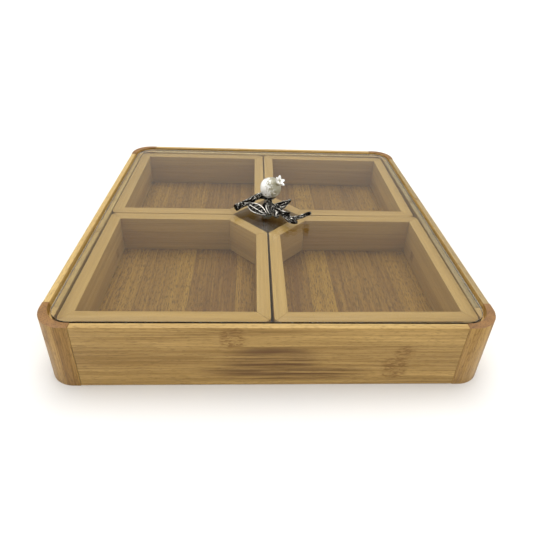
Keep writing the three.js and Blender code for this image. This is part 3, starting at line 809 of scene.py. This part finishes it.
def bud(shape):
    """A round bud of four overlapping scales, with a small point to the front."""
    rings, glints = [], []
    for row in range(BUD_ROWS + 1):
        polar = math.pi * (0.02 + 0.96 * row / BUD_ROWS)
        point = 1 + BUD_POINT * math.exp(-(polar / 0.3) ** 2)
        ring, glint = [], []
        for angle in angles(BUD_COLUMNS):
            scale = abs(math.sin(2 * angle + 1.2 * polar))
            size = BUD_RADIUS * (0.9 + 0.1 * scale) * point
            way = Vector((math.sin(polar) * math.cos(angle), -BUD_FLATNESS * math.cos(polar),
                          math.sin(polar) * math.sin(angle)))
            ring.append(Vector(BUD) + size * way)
            glint.append(0.1 + 0.8 * scale)
        rings.append(ring)
        glints.append(glint)
    skin(shape, rings, glints)


def lathe(shape, profile, lobes, lobing, centre=(0, 0, 0), glint=0.3):
    """An upright turned shape from (radius, height) points, with its radius waved by lobes."""
    axis = Vector((0, 0, 1))
    rings = []
    for radius, height in profile:
        ring = []
        for angle in angles(LATHE_COLUMNS):
            size = radius * (1 + lobing * math.cos(lobes * angle))
            ring.append(Vector(centre) + axis * height + size * outwards(axis, angle))
        rings.append(ring)
    skin(shape, rings, [[glint] * LATHE_COLUMNS] * len(rings))


def antique_silver():
    """Blackened silver: the hollows stay black and the ridges are rubbed bright."""
    material, tree, shader = new_material("antique_silver")
    place = add(tree, "ShaderNodeTexCoord").outputs["Object"]
    glint = add(tree, "ShaderNodeAttribute", attribute_name="glint").outputs["Fac"]
    inputs = {"Vector": place, "Scale": GRIME_SCALE, "Detail": 4.0}
    grime = add(tree, "ShaderNodeTexNoise", inputs).outputs[0]
    rubbed = calc(tree, "ADD", glint, centred(tree, grime, 0.5, GRIME_SHARE))
    rubbed = spread(tree, rubbed, *RUBBED_EDGES)
    colour = blend_colours(tree, rubbed, SILVER_BLACK, SILVER_BRIGHT)
    tree.links.new(colour, shader.inputs["Base Color"])
    tree.links.new(spread(tree, rubbed, 0.0, 1.0, 0.62, 0.26), shader.inputs["Roughness"])
    roughen(tree, shader, grime, 0.5, 0.15 * MM)
    shader.inputs["Metallic"].default_value = 0.92
    return material


def handle_branch():
    silver = antique_silver()
    shape = bmesh.new()
    shape.from_mesh(bark_limbs(silver))
    for sizes in LEAVES:
        leaf(shape, **sizes)
    bud(shape)
    foot = Vector(FRUIT) - Vector((0, 0, FRUIT_RADIUS))
    lathe(shape, CUP, lobes=5, lobing=0.14, centre=foot, glint=0.55)
    lathe(shape, BOSS, lobes=7, lobing=0.04)
    branch = cast("silver_branch", shape)
    dress(branch, silver)
    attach(branch, "lid")
    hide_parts("handle_branch")


handle_branch()


# ---- Pomegranate ------------------------------------------------------------------------------
# A pearl-white enamelled fruit, hammered in small facets, with an open crown of five points that
# leans to the right and forward. It is glued in the cup of the branch.

FRUIT_AXIS = Vector((0.62, -0.35, 0.70)).normalized()
FRUIT_ROWS, FRUIT_COLUMNS = 64, 96
LOBES = 6
FACET_SIZE = 7.0
CREASE_WIDTH = 0.16  # of a facet
CREASE_DEPTH, LOBE_HEIGHT, TOP_HOLLOW = 0.020, 0.018, 0.02  # of the radius
CROWN_REACH = 5.5
CROWN_POINTS = 5
CROWN_COLUMNS = 72
CROWN_SINK = 0.2
NOTCH_WIDTH, NOTCH_DROP = 0.46, 0.9
# (share of the reach, height, how far the points stand out, glint) up the outside and down the inside
# the glint below 0 at the crown's foot is painted shade under the crown
CROWN = ((0.50, -1.6, 0.0, -1.0), (0.56, -0.6, 0.0, -1.0), (0.58, 0.6, 0.1, -0.4), (0.68, 1.9, 0.4, 1.2),
         (0.84, 3.0, 0.8, 2.0), (0.97, 3.8, 1.0, 2.0), (1.0, 4.4, 1.0, 2.0), (0.95, 4.8, 1.0, 2.0),
         (0.80, 4.5, 0.9, 2.0), (0.60, 3.9, 0.6, 2.0), (0.40, 3.4, 0.3, 1.2), (0.28, 2.6, 0.0, 0.2),
         (0.04, 2.4, 0.0, 0.2))
PEARL_WHITE = (0.95, 0.95, 0.93, 1)
PEARL_GREY = (0.36, 0.34, 0.24, 1)
CLOUDING_SCALE = 260.0
CLOUDING_MIDDLE, CLOUDING_SHARPNESS = 0.54, 8.0


def fruit_body(shape):
    """The round of the fruit, with six soft lobes and creases between its hammered facets."""
    rings, glints = [], []
    for row in range(FRUIT_ROWS + 1):
        polar = math.pi * (0.004 + 0.992 * row / FRUIT_ROWS)
        ring, glint = [], []
        for angle in angles(FRUIT_COLUMNS):
            way = FRUIT_AXIS * math.cos(polar) + outwards(FRUIT_AXIS, angle) * math.sin(polar)
            near = noise.voronoi(way * FRUIT_RADIUS / FACET_SIZE)[0]
            crease = min(1.0, (near[1] - near[0]) / CREASE_WIDTH)
            lobe = LOBE_HEIGHT * math.cos(LOBES * angle) * math.sin(polar) ** 2
            hollow = TOP_HOLLOW * math.exp(-(polar / 0.5) ** 2)
            size = FRUIT_RADIUS * (0.968 + lobe + CREASE_DEPTH * crease - hollow)
            ring.append(Vector(FRUIT) + way * size)
            # painted shade: the white is lowered on the right, underneath and round the crown's neck, and
            # in the creases
            painted_shade = 1.2 * way.x + 0.5 * max(0.0, -way.z) + 1.4 * math.exp(-(polar / 0.75) ** 2)
            glint.append(0.62 + 0.45 * crease - painted_shade)
        rings.append(ring)
        glints.append(glint)
    skin(shape, rings, glints)


def fruit_crown(shape):
    """The crown: a flared cup with a notch between every two points."""
    rings, glints = [], []
    for share, height, standing, glint in CROWN:
        ring = []
        for angle in angles(CROWN_COLUMNS):
            notch = standing * (0.5 - 0.5 * math.cos(CROWN_POINTS * angle))
            size = CROWN_REACH * share * (1 - NOTCH_WIDTH * notch)
            rise = FRUIT_RADIUS - CROWN_SINK + height - NOTCH_DROP * notch
            ring.append(Vector(FRUIT) + FRUIT_AXIS * rise + size * outwards(FRUIT_AXIS, angle))
        rings.append(ring)
        glints.append([glint] * CROWN_COLUMNS)
    skin(shape, rings, glints)


def pearl():
    """Pearl enamel: white and glossy on the facets, clouded between, and grey in the painted shade."""
    material, tree, shader = new_material("pearl_enamel")
    place = add(tree, "ShaderNodeTexCoord").outputs["Object"]
    glint = add(tree, "ShaderNodeAttribute", attribute_name="glint").outputs["Fac"]
    inputs = {"Vector": place, "Scale": CLOUDING_SCALE, "Detail": 5.0, "Roughness": 0.7, "Distortion": 0.8}
    cloud = add(tree, "ShaderNodeTexNoise", inputs).outputs[0]
    white = centred(tree, cloud, CLOUDING_MIDDLE, CLOUDING_SHARPNESS)
    white = calc(tree, "ADD", glint, white, clamp=True)
    tree.links.new(blend_colours(tree, white, PEARL_GREY, PEARL_WHITE), shader.inputs["Base Color"])
    tree.links.new(spread(tree, cloud, 0.3, 0.7, 0.42, 0.22), shader.inputs["Roughness"])
    roughen(tree, shader, cloud, 0.35, 0.2 * MM)
    shader.inputs["Coat Weight"].default_value = 0.6
    shader.inputs["Coat Roughness"].default_value = 0.12
    return material


def pomegranate():
    shape = bmesh.new()
    fruit_body(shape)
    fruit_crown(shape)
    fruit = cast("pearl_pomegranate", shape)
    dress(fruit, pearl())
    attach(fruit, "lid")
    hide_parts("handle_pomegranate")


pomegranate()
